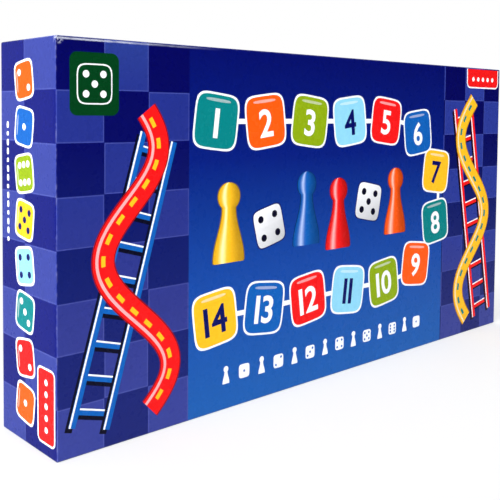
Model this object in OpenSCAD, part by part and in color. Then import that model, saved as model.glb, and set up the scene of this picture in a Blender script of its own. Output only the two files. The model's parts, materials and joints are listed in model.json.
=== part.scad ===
// Boxed snakes and ladders set: a lift-off lid box that stands on one long edge and holds a folding
// wooden playing case with its pawns and dice. X runs along the box, -Y out of the lid's printed front
// and Z up. The origin is the middle of the face that the box stands on.

/* [Playing case] */
// Side of the square board when the case lies open
board_side = 280; // [240:1:340]
// Depth of each half of the case, from the seam to its playing face
half_depth = 19; // [17:0.5:28]
// Thickness of the plywood playing panels
panel_t = 3; // [2:0.25:5]
// Width of the frame rails
rail_w = 10; // [9:0.5:20]
// Number of fingers in each corner joint of the frames
finger_count = 3; // [3:2:5]
// Gap between the rims of the two closed halves
rim_gap = 0.3; // [0.2:0.1:0.8]

/* [Hinges] */
// Distance between the two hinges
hinge_spread = 170; // [100:5:220]
// Length of a hinge
hinge_l = 30; // [24:1:44]
// Width of a hinge leaf
leaf_w = 11; // [9:0.5:12]
// Thickness of a hinge leaf
leaf_t = 1; // [0.8:0.1:1.5]
// Diameter of the hinge barrel
barrel_d = 4; // [3.6:0.1:5]
// Diameter of the hinge pin
pin_d = 1.6; // [1.2:0.1:2]
// Height of the hinge axis above the spine of the case
axis_lift = 0.4; // [0.3:0.1:0.8]
// Running clearance of the pin, and of the leaves' edges in their mortises
hinge_gap = 0.05; // [0.03:0.01:0.1]
// Clearance round the turning barrel
barrel_gap = 0.3; // [0.2:0.1:0.6]
// Diameter of a hinge screw's head
screw_head_d = 3.8; // [3.2:0.1:4.4]
// Diameter of a hinge screw's shank
screw_d = 1.8; // [1.4:0.1:2.2]
// Length of a hinge screw
screw_l = 7; // [5:0.5:8]

/* [Magnets] */
// Distance between the two catch magnets of a half
magnet_spread = 220; // [120:5:226]
// Diameter of a catch magnet
magnet_d = 6; // [4:0.5:7]
// Thickness of a catch magnet
magnet_t = 2.5; // [1.5:0.5:5]
// Depth of a magnet's face below the rim
magnet_sink = 0.1; // [0.05:0.05:0.5]

/* [Pieces] */
// Height of a pawn
pawn_h = 30; // [22:0.5:40]
// Diameter of a pawn's foot
pawn_d = 15; // [12:0.5:20]
// Diameter of a pawn's head
head_d = 10.5; // [8:0.5:11.5]
// Diameter of a pawn's neck
neck_d = 6.4; // [4:0.2:7.4]
// Rounding of a pawn's foot
foot_round = 0.8; // [0.4:0.1:1.5]
// Edge of a die
die_s = 14; // [10:0.5:18]
// Diameter of a pip
pip_d = 2.4; // [1.6:0.1:2.8]
// Depth of a pip
pip_sink = 0.4; // [0.2:0.1:0.7]
// Thickness of the insert that holds the pieces
insert_t = 9; // [5:0.5:12]
// Clearance round a piece in its well
well_gap = 0.3; // [0.2:0.1:0.8]
// Wall between two wells
well_wall = 12; // [6:1:18]

/* [Box] */
// Thickness of the greyboard
card_t = 1.75; // [1.2:0.05:2.5]
// Thickness of the wrapping paper
paper_t = 0.25; // [0.15:0.05:0.4]
// Width of the paper that is turned in at a rim
turn_in = 14; // [8:1:18]
// Clearance between the base and the lid's sides
lid_gap = 0.6; // [0.5:0.1:1.2]
// Spare room between the case and the base's walls
case_gap = 1.6; // [1:0.1:3]
// Gap between the case and the lid's front
front_gap = 0.6; // [0.3:0.1:2]
// Height of the base's back above the lid's rim
lid_reveal = 0.5; // [0.2:0.1:2]
// Gap that a piece keeps from the seat it stands on
seat_gap = 0.3; // [0.2:0.1:0.5]

/* [Leaflet] */
// Width of the folded rules leaflet
leaflet_w = 140; // [80:5:200]
// Height of the folded rules leaflet
leaflet_h = 100; // [60:5:120]
// Thickness of the folded rules leaflet
leaflet_t = 0.8; // [0.4:0.1:1.6]

/* [Hidden] */
$fn = 48;

// Cuts run past the faces that they open by this much
over = 1;

// Colours of the finishes
print_blue = "#2b3b9c";
base_blue = "#1d2f86";
greyboard = "#b9b2a4";
plywood = "#d9b98a";
beech = "#e0c295";
brass = "#c9a24a";
steel = "#c3c6ca";
paper_white = "#f4f2ec";

// Wall of the box: one covered sheet of greyboard
wall = card_t + paper_t;

// Outer size of the closed case
case_l = board_side;
case_h = board_side / 2;

// Size of the box, from the case outwards
base_l = case_l + 2 * (case_gap + wall);
base_h = case_h + 2 * (case_gap + wall);
box_l = base_l + 2 * (lid_gap + wall);
box_h = base_h + 2 * (lid_gap + wall);
leaflet_room = leaflet_t + 2 * seat_gap;
box_d = 2 * wall + front_gap + 2 * half_depth + leaflet_room;

// Places along Y, from the lid's front to the base's back
box_front = -box_d / 2;
box_back = box_d / 2;
seam_y = box_front + wall + front_gap + half_depth;
lid_rim = box_back - lid_reveal;
base_rim = seam_y + barrel_d / 2 + barrel_gap;

// Places along Z
base_z = wall + lid_gap;
case_z = base_z + wall + seat_gap;
spine_z = case_z + case_h;
axis_z = spine_z + axis_lift;

// A half's rails reach from the rim to the panel
rim_y = rim_gap / 2;
rail_end = half_depth - panel_t;
finger_y = (rail_end - rim_y) / finger_count;

// Hinge parts
barrel_r = barrel_d / 2;
pin_r = pin_d / 2;
knuckle_l = hinge_l / 3;
screw_x = hinge_l * 0.3;
screw_y = leaf_w * 0.62;
screw_head_h = (screw_head_d - screw_d) / 2;
slot_l = screw_head_d * 0.75;
slot_w = screw_head_d / 6;
slot_depth = screw_head_h / 3;

// Wells in a row: four pawns, then two dice, all standing on one level
piece_widths = [pawn_d, pawn_d, pawn_d, pawn_d, die_s, die_s];
function well_w(i) = piece_widths[i] + 2 * well_gap;
function well_start(i) = i == 0 ? 0 : well_start(i - 1) + well_w(i - 1) + well_wall;
row_w = well_start(len(piece_widths) - 1) + well_w(len(piece_widths) - 1);
function well_x(i) = well_start(i) + well_w(i) / 2 - row_w / 2;
well_z = case_z + case_h / 2 - pawn_h / 2 - well_gap;

// A straight block between two corners
module block(low, high) {
    translate(low) cube(high - low);
}

// The closed case is two mirrored halves: each is drawn with its rim at Y = 0 and its playing face at +Y
module rear_side() {
    translate([0, seam_y, 0]) children();
}

module front_side() {
    translate([0, seam_y, 0]) mirror([0, 1, 0]) children();
}

// A greyboard shell, and the paper skin that wraps it and turns in at its rim, both open towards +Y.
// The skin's outside measures l by h, from y = 0 at its closed face to y = d at its rim.
module card_shell(l, d, h) {
    difference() {
        block([-l / 2 + paper_t, paper_t, paper_t], [l / 2 - paper_t, d - paper_t, h - paper_t]);
        block([-l / 2 + wall, wall, wall], [l / 2 - wall, d + over, h - wall]);
    }
}

module paper_skin(l, d, h) {
    lip = wall + paper_t;
    difference() {
        block([-l / 2, 0, 0], [l / 2, d, h]);
        block([-l / 2 + wall, wall, wall], [l / 2 - wall, d - turn_in, h - wall]);
        block([-l / 2 + lip, wall, lip], [l / 2 - lip, d + over, h - lip]);
        card_shell(l, d, h);
    }
}

module lid_place() {
    translate([0, box_front, 0]) children();
}

module base_place() {
    translate([0, box_back, base_z]) mirror([0, 1, 0]) children();
}

module lid_card() {
    color(greyboard) lid_place() card_shell(box_l, lid_rim - box_front, box_h);
}

module lid_wrap() {
    color(print_blue) lid_place() paper_skin(box_l, lid_rim - box_front, box_h);
}

module base_card() {
    color(greyboard) base_place() card_shell(base_l, box_back - base_rim, base_h);
}

module base_wrap() {
    color(base_blue) base_place() paper_skin(base_l, box_back - base_rim, base_h);
}

module rules_leaflet() {
    leaflet_z = base_z + wall + paper_t + seat_gap;
    leaflet_y = seam_y + half_depth + seat_gap;
    color(paper_white)
        block([-leaflet_w / 2, leaflet_y, leaflet_z],
              [leaflet_w / 2, leaflet_y + leaflet_t, leaflet_z + leaflet_h]);
}

// Half of the case

module panel() {
    block([-case_l / 2, rail_end, case_z], [case_l / 2, half_depth, spine_z]);
}

// Fingers of a corner joint, every second one from the first on, over the whole frame's corners
module corner_fingers(first) {
    for (side = [-1, 1], i = [first : 2 : finger_count - 1])
        for (low = [case_z, spine_z - rail_w])
            translate([side * (case_l - rail_w) / 2 - rail_w / 2, rim_y + i * finger_y, low])
                cube([rail_w, finger_y, rail_w]);
}

// A rail between its corner joints, along X at a height or along Z at one end
module long_rail(low) {
    block([-case_l / 2 + rail_w, rim_y, low], [case_l / 2 - rail_w, rail_end, low + rail_w]);
    intersection() {
        corner_fingers(0);
        block([-case_l / 2, 0, low], [case_l / 2, half_depth, low + rail_w]);
    }
}

module end_rail(side) {
    middle = side * (case_l - rail_w) / 2;
    block([middle - rail_w / 2, rim_y, case_z + rail_w], [middle + rail_w / 2, rail_end, spine_z - rail_w]);
    intersection() {
        corner_fingers(1);
        block([middle - rail_w / 2, 0, case_z], [middle + rail_w / 2, half_depth, spine_z]);
    }
}

// The spine rail carries both hinges: a mortise for each leaf, room for its barrel and screw holes
module spine_rail() {
    difference() {
        long_rail(spine_z - rail_w);
        for (side = [-1, 1]) translate([side * hinge_spread / 2, 0, 0]) {
            block([-hinge_l / 2 - hinge_gap, -over, spine_z - leaf_t],
                  [hinge_l / 2 + hinge_gap, leaf_w + hinge_gap, spine_z + over]);
            along_axis(hinge_l + 2 * barrel_gap) circle(r = barrel_r + barrel_gap);
            for (x = [-screw_x, screw_x])
                translate([x, screw_y, spine_z - screw_l - hinge_gap])
                    cylinder(d = screw_d + 2 * hinge_gap, h = screw_l);
        }
    }
}

// The catch rail has a blind pocket for each magnet, open at the rim
module catch_rail() {
    difference() {
        long_rail(case_z);
        for (side = [-1, 1])
            magnet_place(side)
                translate([0, 0, -over])
                    cylinder(d = magnet_d + 2 * hinge_gap, h = rim_y + magnet_sink + magnet_t + over);
    }
}

module magnet_place(side) {
    translate([side * magnet_spread / 2, 0, case_z + rail_w / 2]) rotate([-90, 0, 0]) children();
}

module magnets() {
    for (side = [-1, 1])
        magnet_place(side) translate([0, 0, rim_y + magnet_sink]) cylinder(d = magnet_d, h = magnet_t);
}

// Hinges

// Extrudes a flat shape along the hinge axis, centred on the hinge
module along_axis(length) {
    translate([-length / 2, 0, axis_z]) rotate([90, 0, 90]) linear_extrude(length) children();
}

// One knuckle of the barrel: 0 is the middle one, -1 and 1 are the outer ones
module knuckle(place, gap) {
    translate([place * knuckle_l, 0, 0])
        along_axis(knuckle_l - hinge_gap + 2 * gap) circle(r = barrel_r + gap);
}

// A leaf with its own knuckles, cut clear of the other leaf's knuckles
module leaf(own, other) {
    difference() {
        union() {
            difference() {
                block([-hinge_l / 2, 0, spine_z - leaf_t], [hinge_l / 2, leaf_w, spine_z]);
                for (place = other) knuckle(place, barrel_gap);
            }
            for (place = own) knuckle(place, 0);
        }
        along_axis(hinge_l + 2 * over) circle(r = pin_r + hinge_gap);
        for (x = [-screw_x, screw_x]) translate([x, screw_y, spine_z]) screw_shape(hinge_gap);
    }
}

// A countersunk wood screw with its head's top at Z = 0, grown all round by a gap for its hole
module screw_shape(gap) {
    shank_r = screw_d / 2 + gap;
    rotate_extrude() polygon([
        [0, -screw_l], [shank_r, -screw_l], [shank_r, -screw_head_h], [screw_head_d / 2 + gap, 0], [0, 0]
    ]);
}

module screws() {
    for (side = [-1, 1], x = [-screw_x, screw_x])
        translate([side * hinge_spread / 2 + x, screw_y, spine_z])
            difference() {
                screw_shape(0);
                block([-slot_l / 2, -slot_w / 2, -slot_depth], [slot_l / 2, slot_w / 2, over]);
            }
}

module hinge_place(side) {
    translate([side * hinge_spread / 2, 0, 0]) children();
}

module rear_leaf(side) {
    color(brass) rear_side() hinge_place(side) leaf([-1, 1], [0]);
}

module front_leaf(side) {
    color(brass) front_side() hinge_place(side) leaf([0], [-1, 1]);
}

module hinge_pin(side) {
    color(brass) rear_side() hinge_place(side) along_axis(hinge_l) circle(r = pin_r);
}

// Insert and pieces

module piece_insert() {
    side_room = rail_w + well_gap;
    color(plywood) rear_side() difference() {
        block([-case_l / 2 + side_room, rail_end - insert_t, case_z + side_room],
              [case_l / 2 - side_room, rail_end, spine_z - side_room]);
        for (i = [0 : len(piece_widths) - 1])
            translate([well_x(i), rail_end, well_z])
                block([-well_w(i) / 2, -insert_t - over, 0],
                      [well_w(i) / 2, over, (i < 4 ? pawn_h : die_s) + 2 * well_gap]);
    }
}

// A piece stands in its well, just clear of the panel behind it
module in_well(i) {
    piece_y = rail_end - seat_gap - piece_widths[i] / 2;
    rear_side() translate([well_x(i), piece_y, well_z + well_gap]) children();
}

// Turned pawn: a rounded foot, sides that follow half a cosine wave up to the neck, and a ball head
module pawn() {
    foot_r = pawn_d / 2;
    neck_r = neck_d / 2;
    head_r = head_d / 2;
    head_z = pawn_h - head_r;
    neck_z = head_z - sqrt(head_r * head_r - neck_r * neck_r);
    steps = 20;
    rotate_extrude() polygon(concat(
        [[0, 0]],
        [for (a = [0 : 15 : 90])
            [foot_r - foot_round * (1 - sin(a)), foot_round * (1 - cos(a))]],
        [for (i = [1 : steps])
            let (t = i / steps)
            [neck_r + (foot_r - neck_r) * (1 + cos(180 * t)) / 2, foot_round + (neck_z - foot_round) * t]],
        [[0, neck_z]]
    ));
    translate([0, 0, head_z]) intersection() {
        sphere(r = head_r);
        block([-pawn_d, -pawn_d, neck_z - head_z], [pawn_d, pawn_d, pawn_h]);
    }
}

// Pips of a face, in steps of a third of the die's edge from its middle
function pip_spots(n) = concat(
    n % 2 == 1 ? [[0, 0]] : [],
    n > 1 ? [[-1, -1], [1, 1]] : [],
    n > 3 ? [[-1, 1], [1, -1]] : [],
    n == 6 ? [[-1, 0], [1, 0]] : []
);

// Turns that bring each face of a die to the top, from the face with one pip to the face with six
face_turns = [[0, 0, 0], [90, 0, 0], [0, 90, 0], [0, -90, 0], [-90, 0, 0], [180, 0, 0]];

// Die with its corners rounded by a ball, standing on Z = 0
module die() {
    round_r = die_s * 0.69;
    pip_step = die_s * 0.24;
    pip_r = (pip_d * pip_d / 4 + pip_sink * pip_sink) / (2 * pip_sink);
    translate([0, 0, die_s / 2]) difference() {
        intersection() {
            cube(die_s, center = true);
            sphere(r = round_r);
        }
        for (n = [1 : 6]) rotate(face_turns[n - 1])
            for (spot = pip_spots(n))
                translate([spot[0] * pip_step, spot[1] * pip_step, die_s / 2 - pip_sink + pip_r])
                    sphere(r = pip_r);
    }
}

lid_card();
lid_wrap();
base_card();
base_wrap();
rules_leaflet();
color(plywood) rear_side() panel();  // rear_panel
color(beech) rear_side() spine_rail();  // rear_spine_rail
color(beech) rear_side() catch_rail();  // rear_catch_rail
color(beech) rear_side() end_rail(-1);  // rear_left_rail
color(beech) rear_side() end_rail(1);  // rear_right_rail
color(plywood) front_side() panel();  // front_panel
color(beech) front_side() spine_rail();  // front_spine_rail
color(beech) front_side() catch_rail();  // front_catch_rail
color(beech) front_side() end_rail(-1);  // front_left_rail
color(beech) front_side() end_rail(1);  // front_right_rail
rear_leaf(-1);  // left_hinge_rear_leaf
front_leaf(-1);  // left_hinge_front_leaf
hinge_pin(-1);  // left_hinge_pin
rear_leaf(1);  // right_hinge_rear_leaf
front_leaf(1);  // right_hinge_front_leaf
hinge_pin(1);  // right_hinge_pin
color(brass) rear_side() screws();  // rear_hinge_screws
color(brass) front_side() screws();  // front_hinge_screws
color(steel) rear_side() magnets();  // rear_magnets
color(steel) front_side() magnets();  // front_magnets
piece_insert();
color("orange") in_well(0) pawn();  // pawn_orange
color("royalblue") in_well(1) pawn();  // pawn_blue
color("crimson") in_well(2) pawn();  // pawn_red
color("gold") in_well(3) pawn();  // pawn_yellow
color("white") in_well(4) die();  // die_one
color("white") in_well(5) die();  // die_two
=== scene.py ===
import json
import math

import bmesh
import bpy
import numpy as np
from mathutils import Matrix, Vector


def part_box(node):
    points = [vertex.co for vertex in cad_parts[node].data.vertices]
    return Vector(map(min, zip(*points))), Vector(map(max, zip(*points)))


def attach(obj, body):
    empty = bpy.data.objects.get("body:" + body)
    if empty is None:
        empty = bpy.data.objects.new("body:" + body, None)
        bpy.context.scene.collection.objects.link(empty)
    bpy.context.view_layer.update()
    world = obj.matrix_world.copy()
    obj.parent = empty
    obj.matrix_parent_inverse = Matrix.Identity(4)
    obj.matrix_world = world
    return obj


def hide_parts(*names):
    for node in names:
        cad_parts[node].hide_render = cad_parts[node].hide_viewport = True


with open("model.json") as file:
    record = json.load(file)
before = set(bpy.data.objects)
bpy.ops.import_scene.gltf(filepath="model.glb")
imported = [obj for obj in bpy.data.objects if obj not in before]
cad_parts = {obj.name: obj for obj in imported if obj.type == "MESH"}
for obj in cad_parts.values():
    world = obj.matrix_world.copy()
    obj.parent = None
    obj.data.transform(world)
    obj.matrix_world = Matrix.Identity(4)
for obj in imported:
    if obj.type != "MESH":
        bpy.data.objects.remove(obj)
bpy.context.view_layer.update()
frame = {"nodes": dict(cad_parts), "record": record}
cadNodes = frame["nodes"]
mm = 0.001
print("frame loaded,", len(cadNodes), "nodes")


# corners of a CAD node's box at rest, in millimetres
def nodeBox(node):
    low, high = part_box(node)
    return np.array(low) / mm, np.array(high) / mm


# sRGB parts from 0 to 255 become the linear values that a shader takes
def tint(*parts):
    part = np.array(parts) / 255.0
    linear = np.where(part <= 0.04045, part / 12.92, ((part + 0.055) / 1.055) ** 2.4)
    return tuple(linear.tolist())


inks = {
    "white": tint(244, 246, 250),
    "teal": tint(0, 126, 128),
    "orange": tint(252, 88, 8),
    "lime": tint(138, 166, 12),
    "sky": tint(140, 210, 238),
    "red": tint(238, 18, 20),
    "blue": tint(8, 92, 178),
    "yellow": tint(250, 190, 30),
    "black": tint(10, 10, 34),
    "navy": tint(4, 12, 92),
    "green": tint(0, 60, 24),
    "crimson": tint(150, 8, 18),
    "amber": tint(196, 128, 8),
}
tileOrder = ("teal", "orange", "lime", "sky", "red", "blue", "yellow")


# a wire is linked to a socket, any other value is set on it
def feed(socket, value):
    if isinstance(value, Wire):
        socket.id_data.links.new(value.socket, socket)
    elif isinstance(value, tuple) and len(socket.default_value) == 4 and len(value) == 3:
        socket.default_value = (*value, 1.0)
    else:
        socket.default_value = value


# one Math node; at least one of the values is a wire
def calc(operation, *values):
    tree = next(v for v in values if isinstance(v, Wire)).socket.id_data
    node = tree.nodes.new("ShaderNodeMath")
    node.operation = operation
    for socket, value in zip(node.inputs, values):
        feed(socket, value)
    return Wire(node.outputs[0])


# an operator in which the wire stands first or second
def sign(operation, second=False):
    if second:
        return lambda wire, other: calc(operation, other, wire)
    return lambda wire, *other: calc(operation, wire, *other)


class Wire:  # a socket that can stand in a sum
    def __init__(self, socket):
        self.socket = socket

    __add__ = __radd__ = sign("ADD")
    __sub__, __rsub__ = sign("SUBTRACT"), sign("SUBTRACT", second=True)
    __mul__ = __rmul__ = sign("MULTIPLY")
    __truediv__, __mod__ = sign("DIVIDE"), sign("FLOORED_MODULO")
    __lt__, __gt__ = sign("LESS_THAN"), sign("GREATER_THAN")
    __abs__, floor = sign("ABSOLUTE"), sign("FLOOR")
    least, most = sign("MINIMUM"), sign("MAXIMUM")


class Finish:  # one material and the nodes that it is made from
    def __init__(self, name, tree=None):
        if tree is None:
            self.material = bpy.data.materials.new(name)
            self.material.use_nodes = True
            tree = self.material.node_tree
        self.tree = tree
        self.tree.nodes.clear()

    def node(self, kind, settings=None, sockets=None, out=0):
        made = self.tree.nodes.new("ShaderNode" + kind)
        for key, value in (settings or {}).items():
            if key == "stops":
                self.setStops(made.color_ramp, value)
            else:
                setattr(made, key, value)
        for key, value in (sockets or {}).items():
            feed(made.inputs[key], value)
        return Wire(made.outputs[out]) if made.outputs else None

    def setStops(self, ramp, stops):
        while len(ramp.elements) < len(stops):
            ramp.elements.new(0.5)
        for element, (spot, colour) in zip(ramp.elements, stops):
            element.position = spot
            element.color = (*colour, 1.0)

    def split(self, vector):
        outputs = self.node("SeparateXYZ", sockets={0: vector}).socket.node.outputs
        return [Wire(part) for part in outputs]

    def spot(self):
        return self.node("TexCoord", out="Object")

    # Object coordinates as a vector and as three values in millimetres
    def place(self):
        spot = self.spot()
        return spot, *(part * 1000.0 for part in self.split(spot))

    # noise at one scale, or at one for each axis
    def noise(self, spot, scale, detail=2.0):
        if isinstance(scale, tuple):
            spot = self.node("Mapping", sockets={"Vector": spot, "Scale": scale})
            scale = 1.0
        return self.node("TexNoise", sockets={"Vector": spot, "Scale": scale, "Detail": detail})

    # a smooth step from 0 to 1
    def rise(self, value, low, high):
        settings = {"interpolation_type": "SMOOTHSTEP"}
        return self.node("MapRange", settings, {"Value": value, "From Min": low, "From Max": high})

    def mix(self, share, first, second, blend="MIX"):
        settings = {"data_type": "RGBA", "blend_type": blend}
        return self.node("Mix", settings, {0: share, 6: first, 7: second}, out=2)

    def ramp(self, value, *stops):
        return self.node("ValToRGB", {"stops": stops}, {0: value})

    # two colours over the middle of a noise
    def shades(self, value, dark, pale):
        return self.ramp(value, (0.3, dark), (0.7, pale))

    def attribute(self, name, out):
        return self.node("Attribute", {"attribute_name": name}, out=out)

    # glossy rays, and the rays that see a thing as it is
    def rays(self):
        path = self.node("LightPath").socket.node.outputs
        glossy, camera, through = (Wire(path[f"Is {k} Ray"]) for k in ("Glossy", "Camera", "Transmission"))
        return glossy, camera.most(through)

    # heights are in millimetres, so the bump's distance is one millimetre
    def close(self, colour, roughness, height, fixed=None):
        bump = self.node("Bump", sockets={"Strength": 1.0, "Distance": mm, "Height": height})
        sockets = {"Base Color": colour, "Roughness": roughness, "Normal": bump, **(fixed or {})}
        shader = self.node("BsdfPrincipled", sockets=sockets)
        self.node("OutputMaterial", sockets={"Surface": shader})
        return self.material


def addObject(name, data):
    made = bpy.data.objects.new(name, data)
    bpy.context.scene.collection.objects.link(made)
    return made


# an object at the origin from points in millimetres, welded if asked, with its faces turned outwards
def meshPiece(name, points, faces, body, slot, material, stands=(), values=None, weld=0.0, sharp=35):
    mesh = bpy.data.meshes.new(name)
    mesh.from_pydata((np.asarray(points, float) * mm).tolist(), [], np.asarray(faces).tolist())
    for key, array in (values or {}).items():
        flat = array.ndim == 1
        layer = mesh.attributes.new(key, "FLOAT" if flat else "FLOAT_COLOR", "POINT")
        if not flat:
            array = np.column_stack((array, np.ones(len(array))))
        layer.data.foreach_set("value" if flat else "color", array.ravel().astype(np.float32))
    shape = bmesh.new()
    shape.from_mesh(mesh)
    if weld:
        bmesh.ops.remove_doubles(shape, verts=shape.verts, dist=weld * mm)
        bmesh.ops.dissolve_degenerate(shape, dist=weld * mm * 0.1, edges=shape.edges)
    bmesh.ops.recalc_face_normals(shape, faces=shape.faces)
    shape.to_mesh(mesh)
    shape.free()
    mesh.polygons.foreach_set("use_smooth", np.ones(len(mesh.polygons), bool))
    mesh.set_sharp_from_angle(angle=math.radians(sharp))
    mesh.materials.append(material)
    made = addObject(name, mesh)
    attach(made, body)
    if stands:
        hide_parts(*stands)
    return made


# a sheet gets a wall, in millimetres, behind it or on both its sides
def thicken(made, name, wall, offset):
    skin = made.modifiers.new(name, "SOLIDIFY")
    skin.thickness = wall * mm
    skin.offset = offset


# quads of a grid of points, numbered row by row, closed into a ring across its columns if asked
def gridQuads(rows, columns, ring=False, first=0):
    index = first + np.arange(rows * columns).reshape(rows, columns)
    if ring:
        index = np.column_stack((index, index[:, :1]))
    corners = (index[:-1, :-1], index[1:, :-1], index[1:, 1:], index[:-1, 1:])
    return np.stack(corners, -1).reshape(-1, 4)


def quarterTurn(number):
    return np.linspace(0.0, math.pi / 2, number)


def fullTurn(number):
    return np.linspace(0.0, 2 * math.pi, number, endpoint=False)


# Carton shells

carton = {
    "paper": 0.25,  # thickness of the wrap
    "wall": 2.0,  # card and its outer wrap
    "edgeRound": 0.75,  # rounding where the wrap turns round the card's edges
    "rimRound": 0.45,
    "turnIn": 14.0,
    "edgeDrop": 0.05,  # how far the panel falls towards its edges
    "dropWidth": 1.3,
    "filmRoom": 0.08,  # room inside the CAD box for the printed film
    "glueRoom": 0.03,  # room between the wrap and the card, and at the card's rim
    "rimRoom": 0.05,
    "cardRound": 0.5,
    "cardEdge": ((0.5, 0.0), (0.15, 0.05), (0.0, 0.3)),  # inset, and depth below the panel's edge
    "cardRim": (0.15, 0.2),
    "alongPoints": 61,
    "upPoints": 37,
    "cornerPoints": 7,
    "bendPoints": 8,
    "sidePoints": 19,
    "weld": 0.002,
}


# points spread from -1 to 1, closer together towards both ends
def endHeavy(count):
    t = np.linspace(-1.0, 1.0, count)
    return t * (1.5 - 0.5 * t * t)


# loops round a rounded rectangle in X and Z: side points slide along straight sides, corner points run
# round quarter circles whose radius shrinks with the inset
def cartonLoops(low, high, rounding, insets):
    along, up = endHeavy(carton["alongPoints"]), endHeavy(carton["upPoints"])
    quarter = quarterTurn(carton["cornerPoints"])
    swing = np.column_stack((np.sin(quarter), -np.cos(quarter)))
    corner = np.tile((1.0, -1.0), (len(quarter), 1))
    side, arc = [], []
    for turn in range(4):
        t = along if turn % 2 == 0 else up
        line = np.column_stack((t, -np.ones_like(t)))
        spin = np.linalg.matrix_power(np.array(((0, 1), (-1, 0))), turn)
        side += [line @ spin, corner @ spin]
        arc += [np.tile((0.0, -1.0), (len(t), 1)) @ spin, swing @ spin]
    side, arc = np.vstack(side), np.vstack(arc)
    inset = insets[:, None, None]
    radius = np.maximum(rounding - inset, 0.0)
    reach = (high - low)[[0, 2]] / 2 - inset - radius
    return side * reach + arc * radius + (high + low)[[0, 2]] / 2


# depth of a closed panel behind its flat plane: it falls away exponentially towards its edges
def panelDrop(x, z, low, high):
    gap = np.minimum(np.minimum(x - low[0], high[0] - x), np.minimum(z - low[2], high[2] - z))
    inner = np.maximum(gap - carton["edgeRound"], 0.0)
    return carton["edgeDrop"] * np.exp(-inner / carton["dropWidth"])


# a tray: loops at given insets and depths are joined into walls, and a grid closes the first loop, and
# the last one if asked; depth runs from the closed face at y towards the rim
def cartonShell(low, high, rounding, insets, depths, y, inward, lastClosed):
    loops = cartonLoops(low, high, rounding, insets)
    count = loops.shape[1]
    flat = loops.reshape(-1, 2)
    points = [np.column_stack((flat[:, 0], y + inward * np.repeat(depths, count), flat[:, 1]))]
    faces = [gridQuads(len(insets), count, ring=True)]
    for level in (0, -1) if lastClosed else (0,):
        foot, top = loops[level][:, 1].min(), loops[level][:, 1].max()
        x = endHeavy(carton["alongPoints"]) * np.abs(loops[level][:, 0]).max()
        z = endHeavy(carton["upPoints"]) * (top - foot) / 2 + (top + foot) / 2
        gridX, gridZ = (part.ravel() for part in np.meshgrid(x, z, indexing="ij"))
        drop = panelDrop(gridX, gridZ, low, high) if level == 0 else np.full(len(gridX), depths[-1])
        faces.append(gridQuads(len(x), len(z), first=sum(map(len, points))))
        points.append(np.column_stack((gridX, y + inward * drop, gridZ)))
    return np.vstack(points), np.vstack(faces)


# depth and inset down a wrap: quarter turn at the panel's edge, straight side, two quarter turns over
# the rim, and the strip that is turned in
def wrapProfile(depth):
    bend = quarterTurn(carton["bendPoints"])
    edge, rim, drop = carton["edgeRound"], carton["rimRound"], carton["edgeDrop"]
    thick = carton["wall"] + carton["paper"]
    straight = np.linspace(drop + edge, depth - rim, carton["sidePoints"])[1:-1]
    strip = np.linspace(depth - rim, depth - carton["turnIn"], 5)[1:]
    insets = (
        edge * (1 - np.sin(bend)),
        np.zeros(len(straight)),
        rim * (1 - np.cos(bend)),
        thick - rim + rim * np.sin(bend),
        np.full(len(strip), thick),
    )
    depths = (
        drop + edge * (1 - np.cos(bend)),
        straight,
        depth - rim + rim * np.sin(bend),
        depth - rim + rim * np.cos(bend),
        strip,
    )
    return np.concatenate(insets), np.concatenate(depths)


# second least distance of each point from the tray's five faces: how far it is from an edge
def edgeDistance(points, low, high, y, inward):
    ends = (points - low)[:, (0, 2)], (high - points)[:, (0, 2)]
    return np.sort(np.column_stack((*ends, (points[:, 1] - y) * inward)), axis=1)[:, 1]


# a wrap and, just inside it, the card that it is glued to: both trays open towards the same rim
def makeCarton(name, wrapNode, cardNode, body, paperSlot, paper, inward):
    low, high = nodeBox(wrapNode)
    room, wall, weld = carton["filmRoom"], carton["wall"], carton["weld"]
    y = low[1] + room if inward > 0 else high[1] - room
    depth = (high[1] - low[1]) - room
    low, high = low + (room, 0, 0 if body == "lid" else room), high - (room, 0, room)
    insets, depths = wrapProfile(depth)
    points, faces = cartonShell(low, high, carton["edgeRound"], insets, depths, y, inward, False)
    values = {"edge": edgeDistance(points, low, high, y, inward)}
    wrap = meshPiece(name + "Wrap", points, faces, body, paperSlot, paper, (wrapNode,), values, weld)
    under = carton["paper"] - room
    thicken(wrap, "paper", under - carton["glueRoom"], -1.0)
    drop, aside = under + carton["edgeDrop"], np.array((under, 0, under))
    across, rim = wall - carton["paper"], depth - carton["paper"] - carton["rimRoom"]
    edge, (soft, fall) = np.array(carton["cardEdge"]), carton["cardRim"]
    insets = np.append(edge[:, 0], (0.0, soft, across - soft, across, across))
    walls = np.array((rim - fall, rim, rim, rim - fall, wall - room)) - drop
    depths = np.append(edge[:, 1] + carton["edgeDrop"], walls)
    corners = low + aside, high - aside
    shell = cartonShell(*corners, carton["cardRound"], insets, depths, y + inward * drop, inward, True)
    meshPiece(name + "Card", *shell, body, "greyboard", greyboard, (cardNode,), weld=weld)
    return low, high, y


# Papers and card

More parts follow.
